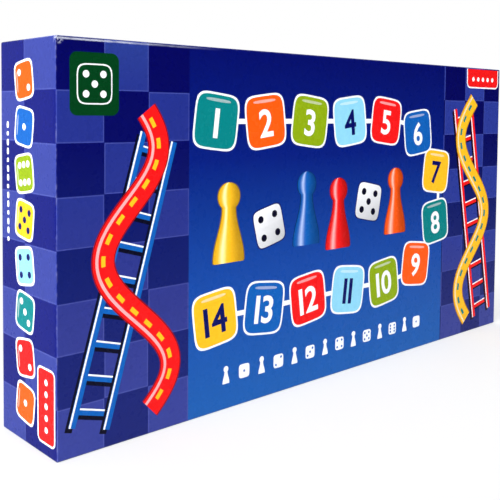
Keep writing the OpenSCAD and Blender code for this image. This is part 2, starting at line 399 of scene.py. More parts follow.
coverSheet = {
    "column": 19.68,  # pitch of the chequer along the front
    "row": 19.05,
    "rows": 8,
    "seam": 24.1,  # depth at which the chequer changes on the box's sides
    "panel": (-87.2, 89.0),
    # up the front the squares grow paler towards the foot: partly the print's own grading, partly painted
    # light, as if from the floor below
    "dark": (
        (0.0, tint(26, 36, 112)),
        (0.45, tint(13, 26, 102)),
        (0.76, tint(1, 4, 90)),
        (1.0, tint(0, 1, 86)),
    ),
    "light": (
        (0.0, tint(56, 66, 148)),
        (0.31, tint(46, 54, 134)),
        (0.62, tint(34, 46, 131)),
        (0.85, tint(31, 44, 132)),
        (1.0, tint(38, 56, 137)),
    ),
    "field": (
        (0.0, tint(26, 93, 173)),
        (0.35, tint(16, 70, 160)),
        (0.7, tint(0, 26, 121)),
        (1.0, tint(0, 8, 99)),
    ),
    "farLight": (tint(41, 57, 149), 0.85),  # pale squares towards the right of the front
    "farFrom": ((40.0, 110.0), (0.15, 0.45)),  # where they begin, along and up
    "endDark": tint(8, 18, 110),
    "endLight": tint(50, 61, 142),
    "line": (0.14, 0.48),  # a fine line just inside the pale squares
    "lineInk": (tint(120, 130, 205), 0.2),
    "core": tint(198, 202, 220),  # bare paper where the print is rubbed
    "rub": ((0.46, 0.68), (0.12, 0.75), 0.12),  # noise, reach from the edges, and share
    "rubAndSheenLine": (1.0, 0.1, 0.55),  # a pale line along the front, this far below its top edge: partly rubbed paper, partly a painted highlight along the edge
    "rubAndSheenRun": (20.0, 78.0),  # and how far along it dies away
    "rubAndSheenShare": 0.75,
    "nick": (-0.1452, -0.0218, 0.1514),  # place of a worn spot, in metres as Object coordinates are
    "nickReach": (0.9, 2.6),
    "nickShare": 0.8,
}


# a faint mottle in the ink
def mottled(look, spot, colour, share):
    mottle = look.shades(look.noise(spot, 900.0, 3.0), (0, 0, 0), (1, 1, 1))
    return look.mix(share, colour, mottle, "OVERLAY")


# coated paper's surface: an uneven gloss, a fine tooth and slow waves
def closePaper(look, spot, colour, rough, tooth):
    height = look.noise(spot, 2600.0) * tooth + look.noise(spot, 14.0, 1.0) * 0.12
    return look.close(colour, rough + look.noise(spot, 260.0) * 0.08, height, {"Specular IOR Level": 0.12})


# a chequer of two blues that carries on round the box's sides, with a plain graded field in the middle
# of the front: which face a point is on follows from which face is nearest
def chequerPaper(name, low, high, y, inward, field=True):
    look = Finish(name)
    spot, x, depth, z = look.place()
    low, high, sheet = low.tolist(), high.tolist(), coverSheet
    deep = (depth - float(y)) * inward
    left, right = x - low[0], high[0] - x
    under, over = z - low[2], high[2] - z

    def nearest(gap, first, second):
        return (gap < deep) * (gap < first) * (gap < second)

    onLeft, onRight = nearest(left, under, over), nearest(right, under, over)
    onTop, onFoot = nearest(over, left, right), nearest(under, left, right)
    onEnds, onLong = onLeft + onRight, onTop + onFoot
    past = deep > sheet["seam"]
    wide, tall = sheet["column"], sheet["row"]
    columns = math.floor((high[0] - low[0]) / wide)
    column = (left / wide).floor() * (1 - onEnds) + onLeft * (-1 - past) + onRight * (columns + 1 + past)
    row = (over / tall).floor() * (1 - onLong) + onTop * (-1 - past) + onFoot * (sheet["rows"] + past)
    pale = ((column + row) % 2.0) > 0.5
    share = under / (high[2] - low[2])
    # the dark and pale ramps grow paler towards the foot: partly the print's own grading, partly painted
    # light from below
    dark = look.mix(onEnds, look.ramp(share, *sheet["dark"]), sheet["endDark"])
    (alongFrom, upFrom), (far, most) = sheet["farFrom"], sheet["farLight"]
    beyond = look.rise(x, *alongFrom) * look.rise(share, *upFrom) * most
    light = look.mix(beyond, look.ramp(share, *sheet["light"]), far)
    blue = look.mix(pale, dark, look.mix(onEnds, light, sheet["endLight"]))
    fromSeam = abs(deep - sheet["seam"])
    gapX, gapZ = left % wide, over % tall
    gapX = gapX.least(wide - gapX) * (1 - onEnds) + fromSeam * onEnds
    gapZ = gapZ.least(tall - gapZ) * (1 - onLong) + fromSeam * onLong
    gap = gapX.least(gapZ)
    (near, far), (ink, most) = sheet["line"], sheet["lineInk"]
    blue = look.mix((gap > near) * (gap < far) * pale * most, blue, ink)
    if field:
        inField = (x > sheet["panel"][0]) * (x < sheet["panel"][1]) * (1 - onEnds)
        blue = look.mix(inField, blue, look.ramp(share, *sheet["field"]))
    blue = mottled(look, spot, blue, 0.05)
    patches, reach, most = sheet["rub"]
    rubbed = look.rise(look.noise(spot, 420.0, 4.0), *patches)
    rubbed = rubbed * (1 - look.rise(look.attribute("edge", "Fac"), *reach))
    blue = look.mix(rubbed * most, blue, sheet["core"])
    if field:
        # a pale line just below the front's top edge, partly rubbed paper and partly a painted highlight
        # along the edge, and a worn nick at the top left corner
        middle, *reach = sheet["rubAndSheenLine"]
        rubAndSheen = (1 - look.rise(abs(over - middle), *reach)) * (1 - onLong)
        rubAndSheen = rubAndSheen * (1 - look.rise(left, *sheet["rubAndSheenRun"])) * look.rise(deep * -1.0, -1.6, -0.8)
        rubAndSheen = rubAndSheen * look.rise(look.noise(spot, (105.0, 300.0, 300.0), 4.0), 0.3, 0.55)
        away = look.node("VectorMath", {"operation": "DISTANCE"}, {0: spot, 1: sheet["nick"]}, out="Value")
        nick = 1 - look.rise(away * 1000.0, *sheet["nickReach"])
        nick = nick * look.rise(look.noise(spot, 900.0, 3.0), 0.42, 0.6)
        bareAndSheen = (rubAndSheen * sheet["rubAndSheenShare"]).most(nick * sheet["nickShare"])
        blue = look.mix(bareAndSheen, blue, sheet["core"])
    return closePaper(look, spot, blue, 0.24 + rubbed * 0.2, 0.003)


# grey card from waste paper: pale fibres and dark flecks
def makeGreyboard():
    look = Finish("greyboard")
    spot = look.spot()
    fibre = look.noise(spot, 700.0, 4.0)
    fleck = look.rise(look.noise(spot, 1500.0), 0.6, 0.72)
    grey = look.shades(fibre, tint(150, 146, 138), tint(178, 174, 165))
    grey = look.mix(fleck * 0.45, grey, tint(96, 92, 88))
    return look.close(grey, 0.9 - fleck * 0.1, fibre * 0.05 + look.noise(spot, 90.0) * 0.08)


# printed film: its colour is carried by the mesh, its gloss and paper tooth are the wrap's
def makeInk(name, gloss, tooth):
    look = Finish(name)
    spot = look.spot()
    colour = mottled(look, spot, look.attribute("ink", "Color"), 0.04)
    return closePaper(look, spot, colour, gloss, tooth)


greyboard = makeGreyboard()
coverInk = makeInk("coverInk", 0.23, 0.003)
boardInk = makeInk("boardInk", 0.4, 0.01)
lidLow, lidHigh = nodeBox("lid_wrap")
baseLow, baseHigh = nodeBox("base_wrap")
lidPaper = chequerPaper("lidPaper", lidLow, lidHigh, lidLow[1], 1)
basePaper = chequerPaper("basePaper", baseLow, baseHigh, baseHigh[1], -1, field=False)
lidLow, lidHigh, frontY = makeCarton("lid", "lid_wrap", "lid_card", "lid", "lid_print", lidPaper, 1)
baseLow, baseHigh, backY = makeCarton("base", "base_wrap", "base_card", "base", "base_paper", basePaper, -1)
print("carton shells made")


# Printed shapes

film = {"first": 0.012, "step": 0.006, "sunk": 0.03}  # heights of the layers, and how far they reach in


# triangles of a grid of points
def gridPatch(grid):
    quads = gridQuads(*grid.shape[:2])
    return grid.reshape(-1, 2), np.vstack((quads[:, :3], quads[:, (0, 2, 3)]))


# triangles from an outline's middle to each of its edges
def fanPatch(outline):
    number = len(outline)
    rim = np.arange(1, number + 1)
    faces = np.column_stack((np.zeros(number, int), rim, np.roll(rim, -1)))
    return np.vstack((outline.mean(0), outline)), faces


# points turned about the origin and then moved
def turned(points, degrees, centre=(0.0, 0.0)):
    angle = math.radians(degrees)
    spin = np.array(((math.cos(angle), math.sin(angle)), (-math.sin(angle), math.cos(angle))))
    return np.asarray(points) @ spin + np.asarray(centre)


# an ellipse, or with a power above two a rounded square
def roundOutline(centre, half, power=2.0, degrees=0.0, number=48):
    t = fullTurn(number)
    wave = np.column_stack((np.cos(t), np.sin(t)))
    return turned(np.sign(wave) * np.abs(wave) ** (2.0 / power) * np.asarray(half), degrees, centre)


# four quarter circles at the corners of a rectangle
def tabOutline(low, high, radius):
    quarter = quarterTurn(9)
    swing = np.column_stack((np.cos(quarter), np.sin(quarter))) * radius
    (left, foot), (right, top) = np.add(low, radius), np.subtract(high, radius)
    corners = ((right, top), (left, top), (left, foot), (right, foot))
    return np.vstack([turned(swing, 90 * k, corner) for k, corner in enumerate(corners)])


# a band to both sides of a path, at right angles to it
def ribbonPatch(path, half, sideways=0.0):
    along = np.gradient(path, axis=0)
    along /= np.linalg.norm(along, axis=1)[:, None]
    across = np.column_stack((-along[:, 1], along[:, 0]))
    half = across * np.broadcast_to(half, len(path))[:, None]
    middle = path + across * sideways
    return gridPatch(np.stack((middle + half, middle - half), 1))


# distance of each point of a path from its start
def pathLength(path):
    return np.append(0.0, np.cumsum(np.linalg.norm(np.diff(path, axis=0), axis=1)))


# points on a path between two distances along it
def partOf(path, start, end, number=12):
    far = pathLength(path)
    wanted = np.linspace(start, end, number)
    return np.column_stack([np.interp(wanted, far, part) for part in path.T])


# pips of a die's face, in steps from its middle
def pipSpots(number):
    spots = [(0, 0)] if number % 2 else []
    spots += [(-1, -1), (1, 1)] if number > 1 else []
    spots += [(-1, 1), (1, -1)] if number > 3 else []
    spots += [(-1, 0), (1, 0)] if number == 6 else []
    return np.array(spots, float)


# starts and ends of the edges that only one face uses
def rimEdges(faces, number):
    edges = np.vstack((faces[:, (0, 1)], faces[:, (1, 2)], faces[:, (2, 0)]))
    key = np.sort(edges, axis=1) @ np.array((number, 1))
    back, times = np.unique(key, return_inverse=True, return_counts=True)[1:]
    return edges[times[back] == 1].T


# an ink by its name, or as it is
def inkOf(ink):
    return np.array(inks[ink] if isinstance(ink, str) else ink)


class Artwork:  # flat patches that become one mesh of thin closed films
    def __init__(self):
        self.points, self.faces, self.inks, self.count = [], [], [], 0

    # a patch becomes its top, its underside and a wall along its rim
    def add(self, patch, ink, layer):
        flat, faces = patch
        number = len(flat)
        for height in (film["first"] + film["step"] * layer, -film["sunk"]):
            self.points.append(np.column_stack((flat, np.full(number, height))))
            self.inks.append(np.broadcast_to(inkOf(ink), (number, 3)))
        start, end = rimEdges(faces, number)
        below = start + number
        walls = np.column_stack((end, start, below)), np.column_stack((end, below, end + number))
        self.faces.append(np.vstack((faces, faces[:, ::-1] + number, *walls)) + self.count)
        self.count += 2 * number

    def blob(self, centre, half, ink, layer, power=2.0, degrees=0.0, number=48):
        self.add(fanPatch(roundOutline(centre, half, power, degrees, number)), ink, layer)

    def band(self, path, half, ink, layer, sideways=0.0):
        self.add(ribbonPatch(path, half, sideways), ink, layer)

    def pips(self, number, step, radius, ink, layer, centre, degrees=0.0, points=20):
        for spot in turned(pipSpots(number) * step, degrees, centre):
            self.blob(spot, radius, ink, layer, number=points)

    # place gives the three coordinates of points at u, v and a height on the print
    def piece(self, name, place, body, slot, material):
        points = np.column_stack(place(*np.vstack(self.points).T))
        values = {"ink": np.vstack(self.inks)}
        meshPiece(name, points, np.vstack(self.faces), body, slot, material, (), values)


digits = {
    "bolder": 0.022,  # how far the outlines move out
    "grown": "4",  # its hole has a very short edge, which the font's own offset would turn over
    "gap": 0.13,
}


# a bolder patch: points that nearly meet become one, and each goes to where its two edges meet once they
# have moved out by the distance
def grown(flat, faces, distance):
    chosen, back = np.unique(flat.round(2), axis=0, return_index=True, return_inverse=True)[1:]
    flat, faces = flat[chosen], back.ravel()[faces]
    faces = faces[(faces != np.roll(faces, 1, axis=1)).all(1)]
    start, end = rimEdges(faces, len(flat))
    along = flat[end] - flat[start]
    outward = np.column_stack((along[:, 1], -along[:, 0])) / np.linalg.norm(along, axis=1)[:, None]
    ahead, behind = np.zeros((2, *flat.shape))
    ahead[start], behind[end] = outward, outward
    return flat + distance * (ahead + behind) / (1.0 + (ahead * behind).sum(1))[:, None], faces


# the ten digits as flat patches one unit tall, from Blender's own font
def makeDigits():
    made = []
    for digit in "0123456789":
        letter = bpy.data.curves.new("digit", "FONT")
        letter.body = digit
        letter.resolution_u = 4
        letter.offset = 0.0 if digit in digits["grown"] else digits["bolder"]
        holder = addObject("digit", letter)
        bpy.context.view_layer.update()
        shape = holder.evaluated_get(bpy.context.evaluated_depsgraph_get()).to_mesh()
        shape.calc_loop_triangles()
        flat = np.zeros(len(shape.vertices) * 3)
        shape.vertices.foreach_get("co", flat)
        faces = np.zeros(len(shape.loop_triangles) * 3, int)
        shape.loop_triangles.foreach_get("vertices", faces)
        flat, faces = flat.reshape(-1, 3)[:, :2], faces.reshape(-1, 3)
        if digit in digits["grown"]:
            flat, faces = grown(flat, faces, digits["bolder"])
        made.append(((flat - flat.min(0)) / np.ptp(flat[:, 1]), faces))
        bpy.data.objects.remove(holder)
        bpy.data.curves.remove(letter)
    return made


digitPatches = makeDigits()


# digits side by side, centred and turned
def numberPatch(number, tall, centre, degrees=0.0):
    flats, faces, reach, count = [], [], 0.0, 0
    for digit in str(number):
        flat, face = digitPatches[int(digit)]
        flats.append(flat + (reach, 0.0))
        faces.append(face + count)
        reach += np.ptp(flat[:, 0]) + digits["gap"]
        count += len(flat)
    flat = (np.vstack(flats) - ((reach - digits["gap"]) / 2, 0.5)) * tall
    return turned(flat, degrees, centre), np.vstack(faces)


tile = {
    "edge": 0.9,  # width of the pale edge
    "corner": 5.0,  # power of the rounded square
    "shine": (0.4, 0.3, 0.03),  # height, half length and half width of the pale streak, in tile sizes
    "number": (0.56, -0.035),  # height of the digits and of their middle
    "pip": (0.25, 0.1),  # step and radius of the pips
    "paleInk": 0.45,  # an ink brighter than this takes dark digits
}


# a rounded tile with a pale edge and a streak of shine, and a number or pips on it
def drawTile(art, centre, size, ink, degrees, layer, number=None, pips=0):
    ink = inkOf(ink)
    art.blob(centre, size / 2 + tile["edge"], "white", layer, tile["corner"], degrees)
    art.blob(centre, size / 2, ink, layer + 1, tile["corner"], degrees)
    height, length, width = (part * size for part in tile["shine"])
    shine = turned(roundOutline((0.0, height), (length, width), 3.0), degrees, centre)
    art.add(fanPatch(shine), 0.7 * ink + 0.3, layer + 2)
    mark = "navy" if ink @ (0.21, 0.72, 0.07) > tile["paleInk"] else "white"
    if number is not None:
        tall, lower = (part * size for part in tile["number"])
        spot = turned((0.0, lower), degrees, centre)
        art.add(numberPatch(number, tall, spot, degrees), mark, layer + 3)
    if pips:
        step, radius = (part * size for part in tile["pip"])
        art.pips(pips, step, radius, mark, layer + 3, centre, degrees)


ladder = {"rung": 0.42, "rail": 0.5, "shine": (0.26, 0.3)}  # half widths, and width and place of the shine


# two rails and evenly spread rungs between a foot and a head, with a thrown shadow and a pale edge
def drawLadder(art, foot, head, gap, rail, rungs, ink, shine, layer, thrown):
    foot, head = np.array(foot, float), np.array(head, float)
    length = np.linalg.norm(head - foot)
    along = (head - foot) / length
    across = np.array((along[1], -along[0]))
    paleShare, paleAside = ladder["shine"]
    passes = ((thrown, 1.0, "black", 0.0), ((0.0, 0.0), 1.0, ink, 0.0))
    passes += (((0.0, 0.0), paleShare, shine, paleAside * rail),)
    for level, (shift, share, colour, aside) in enumerate(passes, layer):
        for step in (np.arange(rungs) + 0.5) / rungs:
            middle = foot + along * (length * step + aside) + shift
            path = np.linspace(middle - across * gap / 2, middle + across * gap / 2, 8)
            art.band(path, rail * ladder["rung"] * share, colour, level)
        for side in (-1, 1):
            start = foot + across * (side * gap / 2 - aside) + shift
            path = np.linspace(start, start + along * length, 36)
            art.band(path, rail * ladder["rail"] * share, colour, level + 3)


road = {
    "edge": 0.55,
    "shine": (0.07, 0.3),  # half width and place of the streak, in road widths
    "marks": (0.5, 0.6, 0.95),  # first, last and pitch of the marks
    "mark": (0.45, 0.1),  # length and half width of a mark
}


# a winding road: dark edge, coloured bed, a pale streak and marks along its middle
def drawRoad(art, path, wide, ink, edge, mark, layer):
    art.band(path, wide / 2 + road["edge"], edge, layer)
    art.band(path, wide / 2, ink, layer + 1)
    half, aside = road["shine"]
    art.band(path, wide * half, 0.6 * inkOf(ink) + 0.4, layer + 2, wide * aside)
    first, last, pitch = (part * wide for part in road["marks"])
    length, half = (part * wide for part in road["mark"])
    for start in np.arange(first, pathLength(path)[-1] - last, pitch):
        art.band(partOf(path, start, start + length), half, mark, layer + 2)


pawn = {"tall": 30.0, "foot": 15.0, "neck": 6.4, "head": 10.5, "footRound": 0.8}
pawnPrint = {"rim": 0.45, "columns": 15, "leastHalf": 0.02}


# half widths of a turned pawn up its height: rounded foot, half a cosine wave to the neck, ball head
def pawnProfile(steps):
    foot, neck, head = (pawn[part] / 2 for part in ("foot", "neck", "head"))
    low = pawn["footRound"]
    headZ = pawn["tall"] - head
    neckZ = headZ - math.sqrt(head * head - neck * neck)
    bend = quarterTurn(9)
    t = np.linspace(0.0, 1.0, steps)[1:-1]
    ball = np.linspace(-math.asin((headZ - neckZ) / head), math.pi / 2, steps)
    stem = neck + (foot - neck) * (1 + np.cos(math.pi * t)) / 2
    radius = foot - low * (1 - np.sin(bend)), stem, head * np.cos(ball)
    height = low * (1 - np.cos(bend)), low + (neckZ - low) * t, headZ + head * np.sin(ball)
    return np.concatenate(radius), np.concatenate(height)


# a pawn's outline filled with rows of points from its left to its right
def pawnPatch(foot, tall, columns, grow=0.0, steps=16):
    radius, height = pawnProfile(steps)
    scale = tall / pawn["tall"]
    half = np.maximum(radius, pawnPrint["leastHalf"]) * scale + grow
    wide = half[:, None] * np.linspace(-1.0, 1.0, columns)
    high = np.broadcast_to((height * scale)[:, None], wide.shape)
    return gridPatch(np.stack((wide, high), -1) + foot)


# a pictured pawn with a dark rim: its colour goes dark, pale and dark across
def drawPawn(art, foot, tall, ink, layer):
    columns = pawnPrint["columns"]
    patch = pawnPatch(foot, tall, columns)
    across = np.tile(np.linspace(-1.0, 1.0, columns), len(patch[0]) // columns)[:, None]
    shade = 0.5 + 0.6 * np.cos(1.25 * (across + 0.3)) ** 2
    gleam = 0.45 * np.exp(-(((across + 0.42) / 0.16) ** 2))
    art.add(pawnPatch(foot, tall, columns, pawnPrint["rim"]), inkOf(ink) * 0.25, layer)
    art.add(patch, np.clip(inkOf(ink) * shade + gleam, 0.0, 1.0), layer + 1)


diePrint = {"rim": 0.5, "corner": 6, "columns": 15, "pip": (0.25, 0.095)}


# a pictured die: a rounded square that darkens downwards, with sunk pips
def drawDie(art, centre, size, degrees, pips, layer):
    t = np.linspace(-1.0, 1.0, diePrint["columns"])
    s, u = np.meshgrid(t, t, indexing="ij")
    power = diePrint["corner"]
    fit = np.maximum(np.abs(s), np.abs(u)) / np.maximum((s**power + u**power) ** (1 / power), 1e-9)
    flat, faces = gridPatch(np.stack((s * fit, u * fit), -1) * size / 2)
    shade = np.clip(0.8 + 0.16 * u - 0.1 * s, 0.0, 1.0).reshape(-1, 1)
    art.blob(centre, size / 2 + diePrint["rim"], "navy", layer, power, degrees)
    art.add((turned(flat, degrees, centre), faces), inkOf("white") * shade, layer + 1)
    step, radius = (part * size for part in diePrint["pip"])
    art.pips(pips, step, radius, "black", layer + 2, centre, degrees, 24)


# a layout's pictured pawns and dice
def drawPieces(art, layout, layer):
    for x, z, tall, ink in layout["pawns"]:
        drawPawn(art, (x, z), tall, ink, layer)
    for x, z, size, lean, pips in layout["dice"]:
        drawDie(art, (x, z), size, lean, pips, layer)


# five white dots in a row
def drawDots(art, middle, pitch, radius):
    for k in range(-2, 3):
        art.blob(np.add(middle, (k * pitch, 0.0)), radius, "white", 3, number=20)


# a small board: the squares' inks go two on from column to column and three on from row to row
def drawSquares(art, corner, cell, cells, gap, colours, layer):
    half = cell / 2 - gap
    square = np.array(((-half, -half), (half, -half), (half, half), (-half, half)))
    for row, column in np.ndindex(cells, cells):
        spot = corner + (np.array((column, row)) + 0.5) * cell
        art.add(fanPatch(square + spot), colours[(column * 2 + row * 3) % 5], layer)


# Cover print

cover = {
    "tile": 22.0,
    "tilePitch": 26.2,
    "rows": (122.0, 40.0),  # heights of the path's upper and lower rows
    "start": -73.0,
    "bend": 44.0,  # where the path turns down
    "thread": 1.1,  # half width of the line that the tiles are on
    "wobble": 7.0,
    "tileLayers": (2.0, 2.5),  # by turns, because neighbouring tiles overlap
    "pawns": (
        (-66.0, 62.5, 34.0, "yellow"),
        (-19.0, 65.0, 34.0, "blue"),
        (3.0, 61.0, 34.0, "red"),
        (47.0, 64.0, 34.0, "orange"),
    ),
    "dice": ((-42.5, 76.0, 17.0, 14.0, 4), (25.5, 82.0, 18.0, -11.0, 5)),
    "ladders": (  # foot, head, gap, rail, rungs and ink
        ((-133.0, 9.0), (-102.0, 116.0), 15.0, 3.0, 9, "blue"),
        ((131.0, 9.0), (108.0, 130.0), 16.0, 3.2, 10, "red"),
    ),
    "shadow": (-1.5, -1.2),
    "roads": (  # place and drift, foot and rise, sway and how it fades, waves and their start, width, inks
        ((-111.0, -4.0), (10.0, 116.0), (16.0, 0.25), (1.35, 0.05), 9.0, ("red", "crimson", "yellow")),
        ((119.0, 0.0), (8.0, 126.0), (13.0, 0.0), (1.45, 0.55), 8.5, ("yellow", "amber", "teal")),
    ),
    "signs": (-67.0, 67.0, 11.0, 14),  # a row of small pawns and dice: first, last, foot and number
    "signTall": 7.6,
    "signDie": (0.45, 0.4, 0.21, 0.075),  # middle, half width, and step and radius of the pips
    "badge": ((-140.7, 124.2), (-120.2, 147.0), 3.0),
    "badgeFace": ((7.4, "white", 2), (6.9, "green", 3)),
    "badgePips": (3.6, 1.35),
    "tab": ((111.0, 140.6), (144.2, 151.55), 3.4),
    "tabEdge": 0.8,
    "tabDots": (5.2, 5.0, 1.25),  # height above the tab's foot, pitch and radius
}


# a road's middle: a line that drifts sideways, with a sine wave that fades on the way up
def roadPath(place, climb, sway, waves):
    t = np.linspace(0.0, 1.0, 90)
    wave = sway[0] * np.sin(2 * math.pi * (waves[0] * t + waves[1])) * (1.0 - sway[1] * t)
    return np.column_stack((place[0] + wave + place[1] * t, climb[0] + climb[1] * t))


# a tab that hangs from an edge: rows of points whose width shrinks along a quarter circle at its foot
def hangingTab(low, high, radius):
    drop = np.append(0.0, np.geomspace(0.05, high[1] - low[1] - radius, 12))
    bend = quarterTurn(9)[1:]
    height = np.append(high[1] - drop, low[1] + radius * (1 - np.sin(bend)))
    half = (high[0] - low[0]) / 2
    wide = np.append(np.full(len(drop), half), half - radius * (1 - np.cos(bend)))
    x = (low[0] + high[0]) / 2 + wide[:, None] * endHeavy(15)
    return gridPatch(np.stack((x, np.broadcast_to(height[:, None], x.shape)), -1))


# small white pawns and dice by turns
def drawSigns(art):
    first, last, foot, number = cover["signs"]
    tall = cover["signTall"]
    middle, half, step, radius = (part * tall for part in cover["signDie"])
    for k, x in enumerate(np.linspace(first, last, number)):
        if k % 2 == 0:
            art.add(pawnPatch((x, foot), tall, 3, steps=10), "white", 1)
        else:
            art.blob((x, foot + middle), half, "white", 1, 5.0, number=32)
            art.pips(k // 2 % 6 + 1, step, radius, "blue", 2, (x, foot + middle), points=12)


# numbered tiles on a path: an upper row, half a circle and a lower row
def drawPath(art):
    high, low = cover["rows"]
    radius = (high - low) / 2
    swing = np.linspace(math.pi / 2, -math.pi / 2, 60)
    curve = np.column_stack((np.cos(swing), np.sin(swing))) * radius + (cover["bend"], (high + low) / 2)
    path = np.vstack(((cover["start"], high), curve, (cover["start"], low)))
    total = pathLength(path)[-1]
    art.band(partOf(path, 0.0, total, 120), cover["thread"], "white", 0)
    for k, spot in enumerate(partOf(path, 0.0, total, int(total / cover["tilePitch"]) + 1)):
        lean = cover["wobble"] * (1 if k % 2 else -1)
        layer = cover["tileLayers"][k % 2]
        drawTile(art, spot, cover["tile"], tileOrder[k % 7], lean, layer, number=k + 1)


def drawCover():
    art = Artwork()
    for shape in cover["ladders"]:
        drawLadder(art, *shape, "white", 0, cover["shadow"])
    for *course, wide, roadInks in cover["roads"]:
        drawRoad(art, roadPath(*course), wide, *roadInks, 7)
    drawPath(art)
    drawPieces(art, cover, 3)
    drawSigns(art)
    low, high, radius = cover["badge"]
    middle = np.add(low, high) / 2
    art.add(fanPatch(tabOutline(low, high, radius)), "green", 1)
    for half, ink, level in cover["badgeFace"]:
        art.blob(middle, half, ink, level, 5.0)
    art.pips(5, *cover["badgePips"], "white", 4, middle, points=24)
    low, high, radius = cover["tab"]
    for shrink, ink, level in ((0.0, "white", 1), (cover["tabEdge"], "red", 2)):
        tab = hangingTab(np.add(low, shrink), (high[0] - shrink, high[1]), radius - shrink)
        art.add(tab, ink, level)
    up, pitch, radius = cover["tabDots"]
    drawDots(art, ((low[0] + high[0]) / 2, low[1] + up), pitch, radius)
    return art


sidePrint = {
    # length and number of the tiles, corners of the tab, and ends of the row of dashes
    "short": (122.0, 8, ((-72.0, -23.0), (-43.5, -9.6)), (0.0, 46.0)),
    "long": (226.0, 15, ((112.0, -23.0), (141.0, -9.6)), (-44.0, 44.0)),
    "tile": 13.2,
    "lean": 8.0,
    "middle": 76.2,  # height of a short side's middle
    "shift": 2.2,  # how far the rows stand behind the middle of a side
    "dashes": (13.6, 0.85, 3.4),  # place, half width and pitch of the row of dashes
    "tabRound": 2.6,
    "tabEdge": 0.8,
    "tabDots": (4.4, 1.2),
}


# the box's long and short sides: a row of small tiles, a row of dashes behind it and a plain tab
def drawSide(length, count, tab, row):
    art = Artwork()
    for k, far in enumerate(np.linspace(-0.5, 0.5, count) * length):
        lean = sidePrint["lean"] * (1 if k % 2 else -1)
        drawTile(art, (far, 0.0), sidePrint["tile"], tileOrder[(k * 3 + 1) % 7], lean, 1, pips=k % 6 + 1)
    aside, half, pitch = sidePrint["dashes"]
    for k, far in enumerate(np.arange(*row, pitch)):
        art.blob((far, aside), (half * (1.5 if k % 3 else 1.0), half), "white", 1, 3.0, number=20)
    low, high = np.array(tab)
    for shrink, ink, level in ((0.0, "white", 1), (sidePrint["tabEdge"], "red", 2)):
        outline = tabOutline(low + shrink, high - shrink, sidePrint["tabRound"] - shrink)
        art.add(fanPatch(outline), ink, level)
    drawDots(art, (low + high) / 2, *sidePrint["tabDots"])
    return art


def printLid():
    shift, middle = sidePrint["shift"], sidePrint["middle"]
    short, long = (drawSide(*sidePrint[side]) for side in ("short", "long"))

    def onFront(u, v, h):
        return u, frontY + panelDrop(u, v, lidLow, lidHigh) - h, v

    prints = (
        ("lidFrontPrint", drawCover(), onFront),
        ("lidLeftPrint", short, lambda u, v, h: (lidLow[0] - h, v + shift, middle + u)),
        ("lidRightPrint", short, lambda u, v, h: (lidHigh[0] + h, v + shift, middle - u)),
        ("lidTopPrint", long, lambda u, v, h: (u, v + shift, lidHigh[2] + h)),
    )
    for name, art, place in prints:
        art.piece(name, place, "lid", "lid_print", coverInk)


printLid()
print("cover printed")


# Playing case

board = {
    "margin": 10.0,
    "cell": 26.0,
    "fold": 140.0,  # distance of the fold from the board's near edge
    "foldGap": 0.25,
    "numberTall": 5.6,
    "numberInset": 2.2,
    "digitsWide": (0.33, 0.62, 0.95),  # half width of one, two and three digits, in their height
    "ladders": ((4, 36), (21, 42), (28, 48), (49, 68), (63, 98), (72, 91), (8, 30)),
    "ladder": (10.5, 2.2, 9.0),  # gap, rail and pitch of the rungs
    "shadow": (-0.7, -0.6),
    "snakes": (
        (25, 6, 1.0, 7.0, "red", "yellow"),
        (47, 12, 1.5, 8.0, "teal", "lime"),
        (66, 34, 1.0, 8.0, "orange", "navy"),
        (78, 58, 1.0, 6.0, "blue", "sky"),
        (95, 75, 1.0, 6.0, "red", "yellow"),
        (88, 51, 2.0, 8.0, "green", "lime"),
    ),
    "squares": (
        tint(246, 240, 222),
        tint(148, 208, 232),
        tint(250, 200, 66),
        tint(170, 194, 62),
        tint(246, 142, 62),
    ),
    "border": tint(16, 34, 120),
    "rule": tint(250, 248, 240),
    "ruleHalf": 0.45,
    "frameRule": (2.4, 0.35, 0.9),  # distance from the squares, half width and strength
    "skin": 0.08,  # depth to which the print is on the panel
}
rearLow, rearHigh = nodeBox("rear_panel")
foreLow, foreHigh = nodeBox("front_panel")


class FoldedArt(Artwork):  # printed shapes that are cut along the board's fold
    def __init__(self):
        self.near, self.far = Artwork(), Artwork()

    def add(self, patch, ink, layer):
        flat, faces = patch
        ink = np.broadcast_to(inkOf(ink), (len(flat), 3))
        up, fold, gap = flat[:, 1], board["fold"], board["foldGap"]
        near = (self.near, up < fold - gap, 0.0, fold - gap)
        far = (self.far, up > fold + gap, fold + gap, 2 * fold)
        for art, kept, low, high in (near, far):
            used = kept[faces].any(1)
            if used.any():
                chosen, renumbered = np.unique(faces[used], return_inverse=True)
                part = np.column_stack((flat[chosen, 0], np.clip(up[chosen], low, high)))
                art.add((part, renumbered.reshape(-1, 3)), ink[chosen], layer)


# middle of a numbered square: rows run to and fro from the near left corner
def squareMiddle(number):
    row, column = divmod(number - 1, 10)
    column = column if row % 2 == 0 else 9 - column
    return np.array((column + 0.5, row + 0.5)) * board["cell"] + board["margin"]


snake = {
    "half": 2.9,  # half width of the body, and its dark rim
    "rim": 0.5,
    "band": (7.5, 1.8),  # pitch and length of the bands
    "head": (5.7, 4.2),
    "headPower": 2.3,
    "tongue": (5.0, 8.6, 0.35),
    "eye": (2.2, 1.9, 1.25, 0.6),  # place ahead and aside, and radius of the white and the black
}


